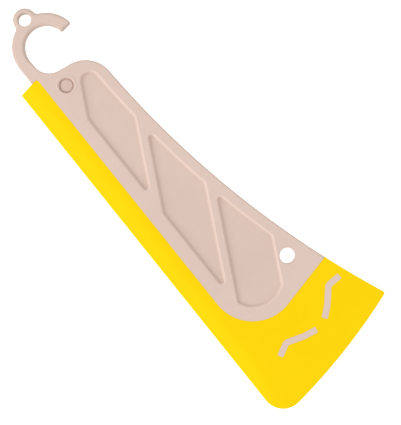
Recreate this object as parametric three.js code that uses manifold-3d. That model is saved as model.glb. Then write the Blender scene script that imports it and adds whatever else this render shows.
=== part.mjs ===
// A two-material hand squeegee for smoothing vinyl film: a rigid core plate with a hanging
// hook, an eye and three weight-saving pockets on each face, and a soft blade moulded over
// the core's lower and front edges. The plate lies in the XY plane: X runs from the hook to
// the front edge, Y from the straight side edge to the grip's upper edge, Z through the plate.

import * as THREE from 'three';
import { mergeVertices } from 'three/addons/utils/BufferGeometryUtils.js';
import Module from 'manifold-3d';

const wasm = await Module();
wasm.setup();

// ---------------------------------------------------------------- driving dimensions (mm, degrees)

const plateThickness = 5;
const toolLength = 252.4;        // eye to the lower front corner, before that corner is rounded
const bladeHeight = 84;          // side edge to the front edge's upper corner
const gripHeight = 43.9;         // side edge to the top of the shoulder behind the hook

const frontLean = 17.7;          // the upper front corner stands this far behind the lower one
const frontArcRadius = 333;
const frontCornerRadius = 11.5;    // lower front corner
const upperCornerCut = 1.2;      // upper front corner, cut back this far along both of its edges
const upperEdgeRadius = 505;     // the long hollow sweep from the shoulder to the upper corner
const shoulderRadius = 16.5;

const hookOuterRadius = 18;
const hookInnerRadius = 11.2;
const hookTipAngle = 96.5;         // where the hook ends, counted from +X round its centre
const throatWidth = 25.1;        // the hook's inside wall to the grip, measured across
const throatCornerRadius = 10;
const throatDraft = 0.6;         // the grip's wall leans this far forward up to the shoulder
const eyeOuterRadius = 6.2;
const eyeHoleRadius = 3.5;
const eyeDistance = 18;        // eye centre to hook centre

const sideLip = 8;               // soft material beyond the core's straight edge
const sideLap = 3.8;             // how far the soft skin laps back over that edge
const stripEndOffset = 10.2;      // hook centre to the start of the soft strip
const stripEndLean = 6.8;
const stripEndRadius = 1.5;
const bladeRootReach = 36.9;     // upper front corner to the top of the blade's root line
const bladeRootLean = 13.3;
const bladeRootRadius = 23.3;

const sideEdgeThickness = 1.2;
const frontEdgeThickness = 1.8;
const frontTaper = 37.5;         // the front wedge starts this far behind the front edge
const skin = 0.9;                // soft cover over each face of the core's tongue
const tongueUpperInset = 3;
const tongueHeel = 6;            // the tongue's roots run this far into the full-thickness plate
const tongueStart = 5;           // and start this far behind the soft strip's end
const bondGap = 0.3;             // drawn clearance between the bonded pieces

const lipReach = 7.5;            // flex line to the chord of the front edge
const lipRootRadius = 1.2;       // rounded root that the lip turns on
const lipSetback = 0.85;         // opening at each face, so that the lip can bend both ways
const jacketWall = 1.2;          // soft wall between the tongue's end and the flex line

const ribAngle = 27.5;
const ribWidth = 3.7;
const pocketCount = 3;
const pocketDepth = 1.6;
const pocketWallRun = 1.2;       // the wall slopes inwards by this much down to the floor
const pocketLowerBorder = 7.1;   // to the soft blade
const pocketUpperBorder = 5.6;   // to the free upper edge
const pocketTipRadius = 2.1;
const pocketCornerRadius = 3;
const pocketNoseRadius = 5.2;    // rounded end next to the shoulder

const recessRadius = 4.1;
const recessDepth = 0.6;
const recessToThroat = 8.5;
const recessToBlade = 9.9;
const recessRim = 3;             // solid face between the recess and the first pocket
const hangHoleRadius = 4.15;
const hangHoleToEdge = 10.1;
const hangHoleToBlade = 15.7;
const hangHoleRim = 1.1;         // solid face between the hole and the last pocket

const windowWidth = 3.3;
const windowTilt = 15;           // direction of the line that the two windows mirror about
const windowAxisHeight = 47.3;   // height of that line where it meets the window tips
const windowFrontInset = 19;     // window tips to the front edge
const windowGap = 7.2;           // between the two windows' inner tips
const windowEdgeClearance = 4.3; // window centreline to the free upper edge
const windowBends = [            // share of the way out, and step back from the tips
  { share: 0, back: 0 },
  { share: 0.29, back: 3.1 },
  { share: 0.665, back: 8.7 },
  { share: 1, back: 7.0 },
];

const arcSteps = 10;             // each curve of an outline is drawn with twice this many chords
const margin = 10;               // how far the cutting shapes run past the body
const weldDistance = 1e-4;       // points closer than this are one point

// ---------------------------------------------------------------- plane geometry

const rad = THREE.MathUtils.degToRad;
const point = (x, y) => new THREE.Vector2(x, y);
const polar = (centre, radius, angle) =>
  point(centre.x + radius * Math.cos(angle), centre.y + radius * Math.sin(angle));
const angleFrom = (centre, p) => Math.atan2(p.y - centre.y, p.x - centre.x);

// Where two circles cross, on the side to the left of the way from a to b.
function circlesCross(a, radiusA, b, radiusB) {
  const span = a.distanceTo(b);
  const along = (radiusA ** 2 - radiusB ** 2 + span ** 2) / (2 * span);
  const aside = Math.sqrt(radiusA ** 2 - along ** 2);
  const way = b.clone().sub(a).normalize();
  return point(a.x + way.x * along - way.y * aside, a.y + way.y * along + way.x * aside);
}

// A line is held as a point on it and its unit normal.
const line = (on, normal) => ({ on, normal });
const shifted = (l, distance) => line(l.on.clone().addScaledVector(l.normal, distance), l.normal);

function linesCross(a, b) {
  const det = a.normal.x * b.normal.y - a.normal.y * b.normal.x;
  const ca = a.normal.dot(a.on);
  const cb = b.normal.dot(b.on);
  return point((ca * b.normal.y - cb * a.normal.y) / det, (a.normal.x * cb - b.normal.x * ca) / det);
}

// Where a line crosses a circle, at the crossing furthest along the direction given.
function lineMeetsCircle(l, centre, radius, towards) {
  const distance = l.normal.dot(l.on) - l.normal.dot(centre);
  const foot = centre.clone().addScaledVector(l.normal, distance);
  const along = point(-l.normal.y, l.normal.x);
  const half = Math.sqrt(radius ** 2 - distance ** 2) * Math.sign(along.dot(towards));
  return foot.addScaledVector(along, half);
}

// A closed shape through corners {x, y, r}, each rounded to its radius r.
function roundedShape(corners) {
  const shape = new THREE.Shape();
  corners.forEach((corner, i) => {
    const before = corners[(i + corners.length - 1) % corners.length];
    const after = corners[(i + 1) % corners.length];
    const into = point(corner.x - before.x, corner.y - before.y).normalize();
    const out = point(after.x - corner.x, after.y - corner.y).normalize();
    const turn = Math.atan2(into.cross(out), into.dot(out));
    const reach = corner.r * Math.tan(Math.abs(turn) / 2);
    const start = point(corner.x, corner.y).addScaledVector(into, -reach);
    if (i === 0) shape.moveTo(start.x, start.y);
    else shape.lineTo(start.x, start.y);
    if (corner.r > 0) {
      const side = Math.sign(turn);
      const centre = start.clone().addScaledVector(point(-into.y, into.x), corner.r * side);
      const from = angleFrom(centre, start);
      shape.absarc(centre.x, centre.y, corner.r, from, from + turn, side < 0);
    }
  });
  shape.closePath();
  return shape;
}

const arcPoints = (centre, radius, from, to, count) =>
  Array.from({ length: count + 1 }, (_, i) => polar(centre, radius, from + (to - from) * i / count));

// ---------------------------------------------------------------- places worked out from the sizes

const middle = plateThickness / 2;
const hookCentre = point(eyeOuterRadius + eyeDistance, sideLip + hookOuterRadius);
const eyeCentre = point(eyeOuterRadius, hookCentre.y);
const throatFloor = hookCentre.y - hookInnerRadius;
const throatWall = hookCentre.x - hookInnerRadius + throatWidth;
const shoulderCentre = point(throatWall + throatDraft + shoulderRadius, gripHeight - shoulderRadius);

const upperCorner = point(toolLength - frontLean, bladeHeight);
const lowerCorner = point(toolLength, 0);
const upperCentre = circlesCross(
  shoulderCentre, upperEdgeRadius + shoulderRadius, upperCorner, upperEdgeRadius);
const frontCentre = circlesCross(lowerCorner, frontArcRadius, upperCorner, frontArcRadius);
const chordWay = lowerCorner.clone().sub(upperCorner).normalize();
const chord = line(upperCorner, point(-chordWay.y, chordWay.x));

const bladeLine = sideLip + sideLap;
const rootTop = circlesCross(upperCorner, bladeRootReach, upperCentre, upperEdgeRadius);
const rootNormal = point(Math.cos(rad(bladeRootLean)), Math.sin(rad(bladeRootLean)));
const root = line(rootTop, rootNormal);
const rootCentre = linesCross(shifted(root, -bladeRootRadius),
  line(point(0, bladeLine + bladeRootRadius), point(0, 1)));
const stripEnd = line(point(hookCentre.x + stripEndOffset, bladeLine),
  point(Math.cos(rad(stripEndLean)), Math.sin(rad(stripEndLean))));

const level = (y) => line(point(0, y), point(0, 1));
const down = point(0, -1);
const recessCentre = point(throatWall + recessToThroat, bladeLine + recessToBlade);
const hangHoleCentre = lineMeetsCircle(
  shifted(root, -hangHoleToBlade), upperCentre, upperEdgeRadius + hangHoleToEdge, down);

// ---------------------------------------------------------------- solids

function solid(geometry) {
  geometry.deleteAttribute('normal');
  geometry.deleteAttribute('uv');
  const merged = mergeVertices(geometry, weldDistance);
  return new wasm.Manifold(new wasm.Mesh({
    numProp: 3,
    vertProperties: merged.attributes.position.array,
    triVerts: Uint32Array.from(merged.index.array),
  }));
}

// A shape's outline as points, without the doubled ones where a line runs into an arc.
function outline(shape) {
  const points = shape.getPoints(arcSteps);
  const apart = (p, i) => p.distanceTo(points[(i + 1) % points.length]) > weldDistance;
  return new THREE.Shape(points.filter(apart));
}

function slab(shape, bottom, top) {
  const options = { depth: top - bottom, bevelEnabled: false };
  return solid(new THREE.ExtrudeGeometry(outline(shape), options).translate(0, 0, bottom));
}

function circle(centre, radius) {
  return new THREE.Shape().absarc(centre.x, centre.y, radius, 0, 2 * Math.PI, false);
}

const drill = (centre, radius, bottom, top) => slab(circle(centre, radius), bottom, top);
const through = (centre, radius) => drill(centre, radius, -margin, plateThickness + margin);

// The straight side bevel: everything beyond the sloping face, above (side 1) or below (side -1).
function sideBevel(side, inset) {
  const slope = (plateThickness - sideEdgeThickness) / 2 / sideLip;
  const height = (y) => middle + side * (plateThickness / 2 - inset + slope * (y - sideLip));
  const outside = middle + side * (plateThickness + margin);
  const profile = new THREE.Shape([
    point(sideLip, height(sideLip)), point(-margin, height(-margin)),
    point(-margin, outside), point(sideLip, outside),
  ]);
  const options = { depth: toolLength + 2 * margin, bevelEnabled: false };
  const profileToPlate = new THREE.Matrix4().makeBasis(
    new THREE.Vector3(0, 1, 0), new THREE.Vector3(0, 0, 1), new THREE.Vector3(1, 0, 0));
  return solid(new THREE.ExtrudeGeometry(profile, options)
    .applyMatrix4(profileToPlate).translate(-margin, 0, 0));
}

// The long front wedge, turned about the centre of the front edge's arc.
function frontBevel(side, inset) {
  const slope = (plateThickness - frontEdgeThickness) / 2 / frontTaper;
  const start = frontArcRadius - frontTaper;
  const height = (r) => middle + side * (plateThickness / 2 - inset - slope * (r - start));
  const outside = middle + side * (plateThickness + margin);
  const rim = frontArcRadius + margin;
  const profile = [
    point(start, height(start)), point(rim, height(rim)), point(rim, outside), point(start, outside),
  ];
  if (THREE.ShapeUtils.area(profile) < 0) profile.reverse();
  profile.push(profile[0]);
  const sweepSegments = 240;
  return solid(new THREE.LatheGeometry(profile, sweepSegments)
    .rotateX(Math.PI / 2).translate(frontCentre.x, frontCentre.y, 0));
}

// The wedge-edged plate that a plan shape cuts out, with both faces set in by inset.
function wedged(shape, inset) {
  let body = slab(shape, inset, plateThickness - inset);
  for (const side of [1, -1]) {
    body = body.subtract(sideBevel(side, inset)).subtract(frontBevel(side, inset));
  }
  return body;
}

// ---------------------------------------------------------------- rigid core

// Full-thickness part: hook, grip and the face up to the soft blade.
function handleShape() {
  const shape = new THREE.Shape();
  const tip = rad(hookTipAngle);
  const stripFoot = linesCross(stripEnd, level(sideLip));
  const bladeCorner = linesCross(stripEnd, level(bladeLine));
  shape.moveTo(hookCentre.x, sideLip);
  shape.lineTo(stripFoot.x, stripFoot.y);
  shape.lineTo(bladeCorner.x, bladeCorner.y);
  shape.lineTo(rootCentre.x, bladeLine);
  shape.absarc(rootCentre.x, rootCentre.y, bladeRootRadius, -Math.PI / 2, rad(bladeRootLean), false);
  shape.lineTo(rootTop.x, rootTop.y);
  const shoulderTangent = angleFrom(shoulderCentre, upperCentre);
  shape.absarc(upperCentre.x, upperCentre.y, upperEdgeRadius,
    angleFrom(upperCentre, rootTop), shoulderTangent - Math.PI, true);
  shape.absarc(shoulderCentre.x, shoulderCentre.y, shoulderRadius, shoulderTangent, Math.PI, false);
  shape.lineTo(throatWall, throatFloor + throatCornerRadius);
  shape.absarc(throatWall - throatCornerRadius, throatFloor + throatCornerRadius,
    throatCornerRadius, 0, -Math.PI / 2, true);
  shape.lineTo(hookCentre.x, throatFloor);
  shape.absarc(hookCentre.x, hookCentre.y, hookInnerRadius, -Math.PI / 2, tip - 2 * Math.PI, true);
  shape.absarc(hookCentre.x, hookCentre.y, hookOuterRadius, tip, 1.5 * Math.PI, false);
  return shape;
}

// The thin tongue inside the soft blade. The blade's slot is the same shape grown by the gap.
function tongueShape(grow) {
  const heel = sideLip + tongueHeel;
  const heelStart = hookCentre.x + stripEndOffset - tongueStart;
  const end = shifted(chord, grow - lipReach - lipRootRadius - bondGap - jacketWall - bondGap);
  const upperRadius = upperEdgeRadius + tongueUpperInset - grow;
  const endTop = lineMeetsCircle(end, upperCentre, upperRadius, down);
  const endFoot = linesCross(end, level(sideLip - grow));
  const back = angleFrom(upperCentre, point(shoulderCentre.x, gripHeight));
  const upper = arcPoints(upperCentre, upperRadius, angleFrom(upperCentre, endTop), back, 2 * arcSteps);
  return new THREE.Shape([
    point(heelStart, sideLip - grow), endFoot, ...upper,
    point(upper.at(-1).x, heel), point(heelStart, heel),
  ]);
}

// Everything about the pockets is measured on a coordinate across the slanted ribs.
const acrossRibs = point(Math.sin(rad(ribAngle)), Math.cos(rad(ribAngle)));
const ribLine = (across) => line(acrossRibs.clone().multiplyScalar(across), acrossRibs);

// Below, a pocket follows the soft blade: straight along the side, then round the root's bend.
// A side that ends less than a corner's radius past the bend's start still ends on the straight.
const pocketFloorLine = level(bladeLine + pocketLowerBorder);
const pocketBendRadius = bladeRootRadius - pocketLowerBorder;
const pocketBendStart = linesCross(pocketFloorLine, line(rootCentre, point(1, 0)));

function lowerEnd(side) {
  const onStraight = linesCross(side, pocketFloorLine);
  return onStraight.x < pocketBendStart.x + pocketCornerRadius
    ? { ...onStraight, r: pocketCornerRadius, onBend: false }
    : { ...lineMeetsCircle(side, rootCentre, pocketBendRadius, down), r: pocketTipRadius, onBend: true };
}

// The points between a pocket's two lower corners, where that stretch reaches the bend.
function bendPoints(low, high) {
  if (!high.onBend) return [];
  const fromStraight = low.x < pocketBendStart.x;
  const start = fromStraight ? pocketBendStart : low;
  const bend = arcPoints(rootCentre, pocketBendRadius, angleFrom(rootCentre, start),
    angleFrom(rootCentre, high), arcSteps);
  return bend.slice(fromStraight ? 0 : 1, -1).map((p) => ({ x: p.x, y: p.y, r: 0 }));
}

function pocketShapes() {
  const first = recessCentre.dot(acrossRibs) + recessRadius + recessRim;
  const last = hangHoleCentre.dot(acrossRibs) - hangHoleRadius - hangHoleRim;
  const width = (last - first - (pocketCount - 1) * ribWidth) / pocketCount;
  const upperRadius = upperEdgeRadius + pocketUpperBorder;
  return Array.from({ length: pocketCount }, (_, i) => {
    const near = ribLine(first + i * (width + ribWidth));
    const far = shifted(near, width);
    const nose = lineMeetsCircle(near, upperCentre, upperRadius, down);
    const top = lineMeetsCircle(far, upperCentre, upperRadius, down);
    const low = lowerEnd(near);
    const high = lowerEnd(far);
    return roundedShape([
      { ...nose, r: i === 0 ? pocketNoseRadius : pocketTipRadius },
      low, ...bendPoints(low, high), { ...high, r: pocketTipRadius },
      { ...top, r: pocketCornerRadius },
    ]);
  });
}

// A pocket's cutter narrows to the floor, and the one for the lower face is turned over.
function pocketCutter(shape, side) {
  const options = {
    depth: margin, bevelEnabled: true, bevelThickness: pocketDepth, bevelSize: pocketWallRun,
    bevelOffset: -pocketWallRun, bevelSegments: 1,
  };
  const cutter = solid(new THREE.ExtrudeGeometry(outline(shape), options));
  if (side > 0) return cutter.translate([0, 0, plateThickness]);
  return cutter.mirror([0, 0, 1]);
}

// A ribbon of constant width along a bent line, with square ends set in by inset.
function ribbonShape(path, width, inset) {
  const sides = [[], []];
  path.forEach((p, i) => {
    const into = (i > 0 ? p.clone().sub(path[i - 1]) : path[1].clone().sub(p)).normalize();
    const out = (i < path.length - 1 ? path[i + 1].clone().sub(p) : into.clone()).normalize();
    const across = point(-into.y - out.y, into.x + out.x).normalize();
    const half = (width / 2 - inset) / across.dot(point(-into.y, into.x));
    const end = i === 0 ? inset : i === path.length - 1 ? -inset : 0;
    const at = p.clone().addScaledVector(into, end);
    sides[0].push(at.clone().addScaledVector(across, half));
    sides[1].unshift(at.clone().addScaledVector(across, -half));
  });
  return new THREE.Shape([...sides[0], ...sides[1]]);
}

// The two bent windows through which the core shows: mirror images about one tilted line.
function windowPaths() {
  const tipX = lineMeetsCircle(level(windowAxisHeight), frontCentre, frontArcRadius, point(1, 0)).x;
  const origin = point(tipX - windowFrontInset, windowAxisHeight);
  const outward = point(Math.cos(rad(windowTilt)), Math.sin(rad(windowTilt)));
  const aside = point(-outward.y, outward.x);
  const farBack = windowBends.at(-1).back;
  const outerLine = line(origin.clone().addScaledVector(outward, -farBack), outward);
  const edgeRadius = upperEdgeRadius + windowEdgeClearance;
  const outerEnd = lineMeetsCircle(outerLine, upperCentre, edgeRadius, down);
  const span = outerEnd.sub(origin).dot(aside) - windowGap / 2;
  return [1, -1].map((side) => windowBends.map((bend) => origin.clone()
    .addScaledVector(outward, -bend.back)
    .addScaledVector(aside, side * (windowGap / 2 + span * bend.share))));
}

function rigidCore() {
  let core = slab(handleShape(), 0, plateThickness)
    .add(drill(eyeCentre, eyeOuterRadius, 0, plateThickness))
    .add(wedged(tongueShape(0), skin))
    .subtract(through(eyeCentre, eyeHoleRadius))
    .subtract(through(hangHoleCentre, hangHoleRadius))
    .subtract(drill(recessCentre, recessRadius, plateThickness - recessDepth, plateThickness + margin));
  for (const shape of pocketShapes()) {
    core = core.subtract(pocketCutter(shape, 1)).subtract(pocketCutter(shape, -1));
  }
  for (const path of windowPaths()) {
    core = core.add(wedged(ribbonShape(path, windowWidth, bondGap), 0));
  }
  return core;
}

// ---------------------------------------------------------------- soft blade

function bladeShape() {
  const shape = new THREE.Shape();
  const lower = linesCross(shifted(stripEnd, bondGap), level(0));
  const inner = linesCross(shifted(stripEnd, bondGap), level(bladeLine - bondGap));
  const cornerCentre = lineMeetsCircle(level(frontCornerRadius), frontCentre,
    frontArcRadius - frontCornerRadius, point(1, 0));
  const cornerEnd = angleFrom(frontCentre, cornerCentre);
  const frontEnd = angleFrom(frontCentre, upperCorner) - upperCornerCut / frontArcRadius;
  const upperStart = angleFrom(upperCentre, upperCorner) - upperCornerCut / upperEdgeRadius;
  const gapRoot = shifted(root, bondGap);
  const gapTop = lineMeetsCircle(gapRoot, upperCentre, upperEdgeRadius, down);
  shape.moveTo(lower.x, lower.y);
  shape.lineTo(cornerCentre.x, 0);
  shape.absarc(cornerCentre.x, cornerCentre.y, frontCornerRadius, -Math.PI / 2, cornerEnd, false);
  shape.absarc(frontCentre.x, frontCentre.y, frontArcRadius, cornerEnd, frontEnd, false);
  shape.absarc(upperCentre.x, upperCentre.y, upperEdgeRadius, upperStart,
    angleFrom(upperCentre, gapTop), true);
  shape.absarc(rootCentre.x, rootCentre.y, bladeRootRadius + bondGap,
    rad(bladeRootLean), -Math.PI / 2, true);
  shape.lineTo(inner.x + stripEndRadius, inner.y);
  shape.absarc(inner.x + stripEndRadius, inner.y - stripEndRadius, stripEndRadius,
    Math.PI / 2, Math.PI - rad(stripEndLean) / 2, false);
  return shape;
}

// The flex line runs along the blade's middle plane, parallel to the chord of the front edge.
const flexLine = shifted(chord, -lipReach);
const flexAngle = Math.atan2(chordWay.y, chordWay.x);

// A block, or a round bar, laid along the flex line.
function alongFlexLine(geometry) {
  const centre = flexLine.on.clone().addScaledVector(chordWay, bladeHeight / 2);
  return solid(geometry.rotateZ(flexAngle).translate(centre.x, centre.y, middle));
}

// Everything in front of the flex line, from the given distance behind it.
function aheadOfFlexLine(setback) {
  const depth = lipReach + setback + 2 * margin;
  return alongFlexLine(new THREE.BoxGeometry(2 * bladeHeight, depth, 2 * margin)
    .translate(0, depth / 2 - setback, 0));
}

function flexBar(radius) {
  const segments = 32;
  return alongFlexLine(new THREE.CylinderGeometry(radius, radius, 2 * bladeHeight, segments)
    .rotateZ(Math.PI / 2));
}

const lipRoot = (radius, setback) => aheadOfFlexLine(setback).add(flexBar(radius));

function bladeJacket(blade) {
  let jacket = blade
    .subtract(wedged(tongueShape(bondGap), skin - bondGap))
    .subtract(lipRoot(lipRootRadius + bondGap, lipSetback));
  for (const path of windowPaths()) {
    jacket = jacket.subtract(slab(ribbonShape(path, windowWidth, 0), -margin, plateThickness + margin));
  }
  return jacket;
}

const bladeLip = (blade) => blade.intersect(lipRoot(lipRootRadius, 0));

// ---------------------------------------------------------------- assembly

const coreMaterial = { color: 0xe2cabc, roughness: 0.55, metalness: 0 };
const bladeMaterial = { color: 0xfeda12, roughness: 0.5, metalness: 0 };

function piece(name, body, look) {
  const { vertProperties, triVerts } = body.getMesh();
  const geometry = new THREE.BufferGeometry();
  geometry.setAttribute('position', new THREE.BufferAttribute(vertProperties, 3));
  geometry.setIndex(new THREE.BufferAttribute(triVerts, 1));
  geometry.computeVertexNormals();
  const mesh = new THREE.Mesh(geometry, new THREE.MeshStandardMaterial(look));
  mesh.name = name;
  return mesh;
}

const blade = wedged(bladeShape(), 0);
const group = new THREE.Group();
group.add(piece('rigid_core', rigidCore(), coreMaterial));
group.add(piece('blade_jacket', bladeJacket(blade), bladeMaterial));
group.add(piece('blade_lip', bladeLip(blade), bladeMaterial));

// The origin is the middle of the tool's footprint, on the surface that it lies on.
const box = new THREE.Box3().setFromObject(group);
const centre = box.getCenter(new THREE.Vector3());
group.position.set(-centre.x, -centre.y, -box.min.z);

export default group;
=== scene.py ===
"""A two-material hand squeegee for smoothing vinyl film, laid out as a Blender add-on.

The rigid core and the soft blade are both relief plates. Their plans are drawn flat, as
outlines with rings beside every edge, and a geometry node tree raises each plan to its
relief: rounded edges, sunk pockets, the blade's wedges, then the second face and the walls.
Points of a plan are complex numbers, x + y*1j, in metres.
"""

from math import ceil, cos, pi, radians, sin, sqrt, tan

import bmesh
import bpy
import numpy as np
from bpy.props import FloatProperty, FloatVectorProperty, IntProperty, PointerProperty
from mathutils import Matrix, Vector
from mathutils.geometry import delaunay_2d_cdt


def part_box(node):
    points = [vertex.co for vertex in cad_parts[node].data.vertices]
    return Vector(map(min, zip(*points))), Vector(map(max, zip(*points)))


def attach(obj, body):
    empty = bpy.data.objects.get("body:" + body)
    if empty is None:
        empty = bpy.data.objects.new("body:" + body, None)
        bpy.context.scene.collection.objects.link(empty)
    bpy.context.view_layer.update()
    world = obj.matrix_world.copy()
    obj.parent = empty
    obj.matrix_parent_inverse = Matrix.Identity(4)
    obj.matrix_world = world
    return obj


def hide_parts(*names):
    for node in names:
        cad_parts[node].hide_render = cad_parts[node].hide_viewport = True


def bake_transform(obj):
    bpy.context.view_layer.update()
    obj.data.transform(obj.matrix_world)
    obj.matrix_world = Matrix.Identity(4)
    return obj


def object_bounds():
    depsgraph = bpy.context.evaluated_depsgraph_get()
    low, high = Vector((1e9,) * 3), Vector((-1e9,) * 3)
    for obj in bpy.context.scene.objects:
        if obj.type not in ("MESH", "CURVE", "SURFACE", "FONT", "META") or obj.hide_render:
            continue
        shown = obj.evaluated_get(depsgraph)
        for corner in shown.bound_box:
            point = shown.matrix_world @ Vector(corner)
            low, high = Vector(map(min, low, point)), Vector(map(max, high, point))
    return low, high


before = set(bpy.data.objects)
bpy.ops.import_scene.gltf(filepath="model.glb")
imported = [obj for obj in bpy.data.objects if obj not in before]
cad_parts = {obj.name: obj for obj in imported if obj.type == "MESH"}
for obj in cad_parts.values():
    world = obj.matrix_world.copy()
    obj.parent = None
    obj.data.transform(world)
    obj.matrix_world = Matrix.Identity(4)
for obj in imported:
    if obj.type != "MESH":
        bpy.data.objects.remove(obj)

bl_info = {
    "name": "Hand squeegee",
    "version": (1, 0, 0),
    "blender": (4, 5, 0),
    "location": "3D View > Sidebar > Squeegee",
    "description": "Makes a hand squeegee with a rigid hooked core and a soft moulded blade",
    "category": "Add Mesh",
}

CAD_BOX = [list(corner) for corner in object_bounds()]
CORE_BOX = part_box("rigid_core")
JACKET_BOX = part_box("blade_jacket")
MM = 0.001                       # a millimetre in metres


# ---- settings

def length(name, millimetres, description):
    return FloatProperty(name=name, description=description, default=millimetres * MM,
                         unit="LENGTH", subtype="DISTANCE", precision=4)


def angle(name, degrees, description):
    return FloatProperty(name=name, description=description, default=radians(degrees),
                         unit="ROTATION", subtype="ANGLE")


def share(name, default, description):
    return FloatProperty(name=name, description=description, default=default,
                         min=0.0, max=1.0, subtype="FACTOR")


def colour(name, default, description):
    return FloatVectorProperty(name=name, description=description, default=default,
                               size=3, min=0.0, max=1.0, subtype="COLOR")


class SqueegeeHandle(bpy.types.PropertyGroup):
    """Sizes of the hook, the eye and the grip."""
    overall: length("Overall length", 252.4, "Eye to the lower front corner, before its rounding")
    grip_height: length("Grip height", 43.9, "Side edge to the top of the shoulder")
    shoulder: length("Shoulder radius", 16.5, "Rounding of the grip behind the hook")
    sweep: length("Sweep radius", 505, "Radius of the long hollow upper edge")
    hook_outer: length("Hook outer radius", 18, "Outside radius of the hanging hook")
    hook_inner: length("Hook inner radius", 11.2, "Inside radius of the hanging hook")
    hook_tip: angle("Hook tip angle", 96.5, "Where the hook ends, counted round its centre")
    tip_corner: length("Hook tip corner", 1.1, "Rounding of the two corners of the hook's tip")
    throat: length("Throat width", 25.1, "Inside wall of the hook to the wall of the grip")
    throat_corner: length("Throat corner", 10, "Radius between the throat's floor and wall")
    throat_draft: length("Throat draft", 0.6, "Lean of the grip's wall up to the shoulder")
    eye_outer: length("Eye outer radius", 6.2, "Radius of the boss around the eye")
    eye_hole: length("Eye hole radius", 3.5, "Radius of the eye's hole")
    eye_distance: length("Eye distance", 18, "Centre of the eye to the centre of the hook")
    eye_fillet: length("Eye fillet", 2.5, "Fillet where the eye's boss runs into the hook")
    edge: length("Edge rounding", 0.8, "Rounding of the grip's free edges")
    hook_edge: length("Hook edge rounding", 1.7, "Rounding of the hook's and the eye's edges")


class SqueegeeFace(bpy.types.PropertyGroup):
    """Sizes of the pockets, the ribs, the recess and the hanging hole."""
    rib_angle: angle("Rib angle", 27.5, "Slope of the ribs against the side edge")
    rib_width: length("Rib width", 3.7, "Width of a rib between two pockets")
    pockets: IntProperty(name="Pockets", description="Pockets on each face", default=3, min=1)
    depth: length("Pocket depth", 1.6, "Depth of the pockets below the face")
    wall_run: length("Pocket wall run", 1.2, "Width of the sloping pocket wall in plan")
    rim: length("Pocket rim softness", 0.5, "Height over which the wall rounds into the face")
    foot: length("Pocket foot softness", 0.7, "Height over which the wall rounds into the floor")
    lower_border: length("Lower border", 7.1, "Pocket to the soft blade")
    upper_border: length("Upper border", 5.6, "Pocket to the upper edge")
    tip_radius: length("Pocket tip radius", 2.1, "Rounding of the pockets' sharp corners")
    corner_radius: length("Pocket corner radius", 3, "Rounding of the pockets' blunt corners")
    nose_radius: length("Pocket nose radius", 5.2, "Rounding next to the shoulder")
    recess_radius: length("Recess radius", 4.1, "Radius of the round recess")
    recess_depth: length("Recess depth", 0.6, "Depth of the round recess")
    recess_wall: length("Recess wall run", 0.3, "Width of the recess wall in plan")
    recess_softness: length("Recess softness", 0.2, "Height over which that wall rounds")
    groove_depth: length("Recess groove depth", 0.6, "Groove round the recess floor")
    groove_width: length("Recess groove width", 1.0, "Width of that groove")
    lip_height: length("Recess lip height", 0.2, "Raised lip round the recess")
    lip_width: length("Recess lip width", 1.4, "Width of that lip")
    lip_margin: length("Recess lip margin", 0.1, "Flat between the lip and the recess wall")
    recess_to_throat: length("Recess to throat", 8.5, "Recess centre to the wall of the grip")
    recess_to_blade: length("Recess to blade", 9.9, "Recess centre to the soft blade")
    recess_rim: length("Recess rim", 3, "Face between the recess and the first pocket")
    hole_radius: length("Hanging hole radius", 4.15, "Radius of the hanging hole")
    hole_to_edge: length("Hole to edge", 10.1, "Hanging hole's centre to the upper edge")
    hole_to_blade: length("Hole to blade", 15.7, "Hanging hole's centre to the blade's root")
    hole_rim: length("Hole rim", 1.1, "Face between the hanging hole and the last pocket")
    hole_edge: length("Hole edge rounding", 0.4, "Rounding round the eye and the hanging hole")


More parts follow.
